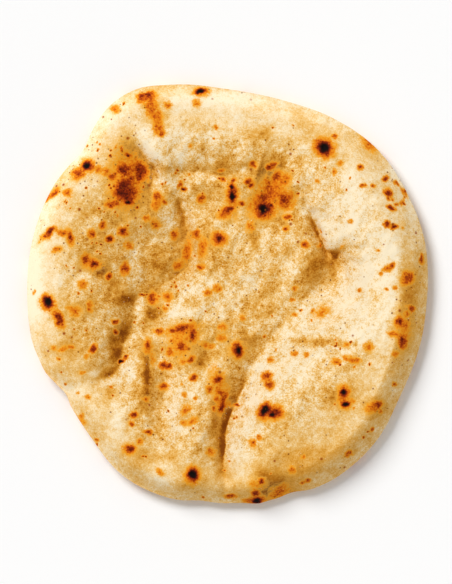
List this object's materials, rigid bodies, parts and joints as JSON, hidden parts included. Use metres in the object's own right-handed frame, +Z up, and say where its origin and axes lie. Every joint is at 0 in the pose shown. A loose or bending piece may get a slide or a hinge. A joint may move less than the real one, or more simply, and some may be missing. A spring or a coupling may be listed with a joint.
{
  "type": "pizza base",
  "caption": "Hand-stretched, unevenly round pizza base with a puffed rim, folds and a lower middle that takes the topping.",
  "frame": {"origin": "middle of the bounding box, on the surface that the bread lies on", "axes": "+Z up out of the puffed side, +Y along the longest way across, towards the broad rounded far rim, +X to the right as seen from above"},
  "size_m": [0.2564, 0.2683, 0.0231],
  "materials": {
    "baked_crust": "matt baked crust, pale cream to golden, with brown and black scorch spots"
  },
  "bodies": {
    "root": {"pizza_base": "baked_crust"}
  },
  "joints": []
}
